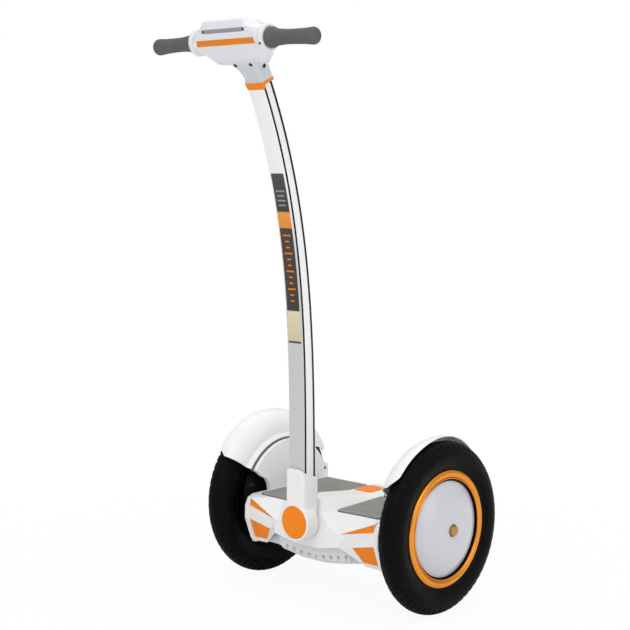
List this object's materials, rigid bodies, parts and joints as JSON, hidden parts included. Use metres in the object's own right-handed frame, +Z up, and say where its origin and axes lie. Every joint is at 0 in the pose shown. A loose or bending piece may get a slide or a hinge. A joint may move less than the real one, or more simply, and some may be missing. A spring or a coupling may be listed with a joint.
{
  "type": "self-balancing scooter",
  "caption": "Self-balancing scooter with hub-motor wheels, a foot deck between fenders, and a leaning column with a handlebar.",
  "frame": {"origin": "on the ground under the middle of the bounding box", "axes": "+X to the rider's left along the wheel axle, -Y forwards, +Z up"},
  "size_m": [0.585, 0.5674, 1.227],
  "materials": {
    "white_plastic": "glossy moulded plastic",
    "pale_grey_plastic": "matt moulded plastic",
    "pearl_white": "pearly painted cover",
    "orange_plastic": "satin moulded plastic",
    "orange_anodised": "gold-orange satin lacquer on an alloy rim",
    "tyre_rubber": "matt black rubber",
    "black_rubber": "matt",
    "grey_rubber_mat": "matt, ribbed",
    "dark_grey_rubber": "matt, ribbed",
    "black_plastic": "satin",
    "black_paint": "satin black paint on aluminium",
    "satin_silver": "satin silver, lighter towards the top",
    "bright_strip": "bright polished strip",
    "cast_alloy": "as cast",
    "steel": "turned",
    "brass": "turned",
    "copper_windings": "enamelled copper on steel laminations",
    "battery_wrap": "heat-shrink wrap",
    "controller": "circuit board with cooling fins"
  },
  "bodies": {
    "base": {"battery_pack": "battery_wrap", "charge_socket": "black_plastic", "chassis": "cast_alloy", "control_board": "controller", "deck_cover": "white_plastic", "front_bush": "brass", "left_axle_nut": "brass", "left_buffer": "black_rubber", "left_fender": "white_plastic", "left_foot_switch": "black_plastic", "left_lower_trim": "orange_plastic", "left_motor_axle": "steel", "left_side_plate": "pale_grey_plastic", "left_stator": "copper_windings", "left_upper_trim": "orange_plastic", "lower_cover": "pale_grey_plastic", "pivot_housing": "cast_alloy", "rear_bush": "brass", "right_axle_nut": "brass", "right_buffer": "black_rubber", "right_fender": "white_plastic", "right_foot_switch": "black_plastic", "right_lower_trim": "orange_plastic", "right_motor_axle": "steel", "right_side_plate": "pale_grey_plastic", "right_stator": "copper_windings", "right_upper_trim": "orange_plastic"},
    "left_wheel": {"left_tyre": "tyre_rubber", "left_rim": "orange_anodised", "left_magnet_ring": "steel", "left_motor_cover": "pearl_white", "left_inner_cover": "cast_alloy"},
    "right_wheel": {"right_tyre": "tyre_rubber", "right_rim": "orange_anodised", "right_magnet_ring": "steel", "right_motor_cover": "pearl_white", "right_inner_cover": "cast_alloy"},
    "steering": {"column_boot": "white_plastic", "pivot_cap": "orange_plastic", "pivot_shaft": "steel", "pivot_lever": "steel", "column_tube": "black_paint", "column_front_panel": "satin_silver", "left_column_strip": "bright_strip", "right_column_strip": "bright_strip", "column_collar": "orange_plastic", "head_front_shell": "white_plastic", "head_rear_shell": "white_plastic", "head_stripe": "orange_plastic", "light_bar": "black_plastic", "display_panel": "black_plastic", "handlebar_tube": "steel", "left_cuff": "white_plastic", "right_cuff": "white_plastic", "left_grip": "dark_grey_rubber", "right_grip": "dark_grey_rubber"},
    "left_mat": {"left_foot_mat": "grey_rubber_mat"},
    "right_mat": {"right_foot_mat": "grey_rubber_mat"},
    "power_button": {"power_button": "orange_plastic"},
    "charge_lid": {"charge_lid": "orange_plastic"}
  },
  "joints": [
    {"name": "left_wheel_spin", "type": "hinge", "parent": "base", "child": "left_wheel", "pos_m": [0.249, 0.09975, 0.184], "axis": [1, 0, 0], "continuous": true},
    {"name": "right_wheel_spin", "type": "hinge", "parent": "base", "child": "right_wheel", "pos_m": [-0.249, 0.09975, 0.184], "axis": [1, 0, 0], "continuous": true},
    {"name": "steering_lean", "type": "hinge", "parent": "base", "child": "steering", "pos_m": [0, 0.03975, 0.186], "axis": [0, 1, 0], "range_deg": [-15, 15], "stiffness_Nm_per_rad": 60},
    {"name": "left_mat_press", "type": "slide", "parent": "base", "child": "left_mat", "axis": [0, 0, -1], "range_m": [0, 0.0015], "stiffness_N_per_m": 8000},
    {"name": "right_mat_press", "type": "slide", "parent": "base", "child": "right_mat", "axis": [0, 0, -1], "range_m": [0, 0.0015], "stiffness_N_per_m": 8000},
    {"name": "power_press", "type": "slide", "parent": "steering", "child": "power_button", "axis": [0, -0.6139, -0.7894], "range_m": [0, 0.0012], "stiffness_N_per_m": 400},
    {"name": "charge_lid_open", "type": "hinge", "parent": "base", "child": "charge_lid", "pos_m": [0, 0.19875, 0.2168], "axis": [-1, 0, 0], "range_deg": [0, 85]}
  ]
}
